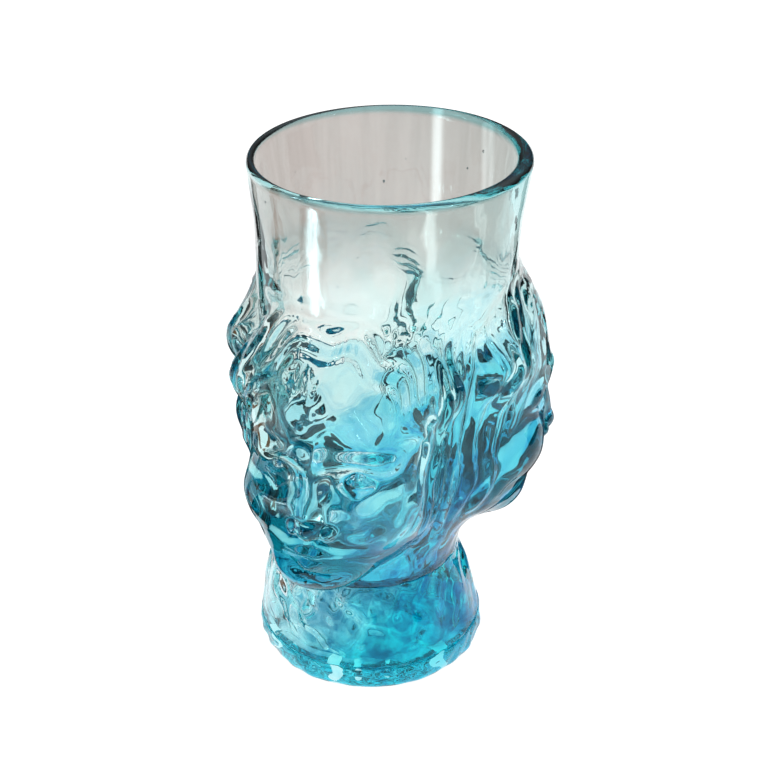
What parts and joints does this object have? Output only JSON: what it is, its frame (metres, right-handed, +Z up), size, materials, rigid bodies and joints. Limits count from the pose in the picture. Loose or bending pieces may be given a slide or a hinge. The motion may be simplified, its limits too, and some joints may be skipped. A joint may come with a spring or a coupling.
{
  "type": "glass tumbler",
  "caption": "Hand-blown glass tumbler: plain round collar over hollow heads that face outwards, narrow neck and thick flared foot.",
  "frame": {"origin": "middle of the bounding box's bottom, on the surface that the tumbler stands on", "axes": "+Z up through the mouth; -Y is the way the first head looks, and the others look a third of a turn to each side of it"},
  "size_m": [0.098, 0.0982, 0.1604],
  "materials": {
    "bowl_glass": "gloss",
    "foot_glass": "gloss",
    "base_glass": "gloss"
  },
  "bodies": {
    "root": {"bowl": "bowl_glass", "foot": "foot_glass", "base_pad": "base_glass"}
  },
  "joints": []
}
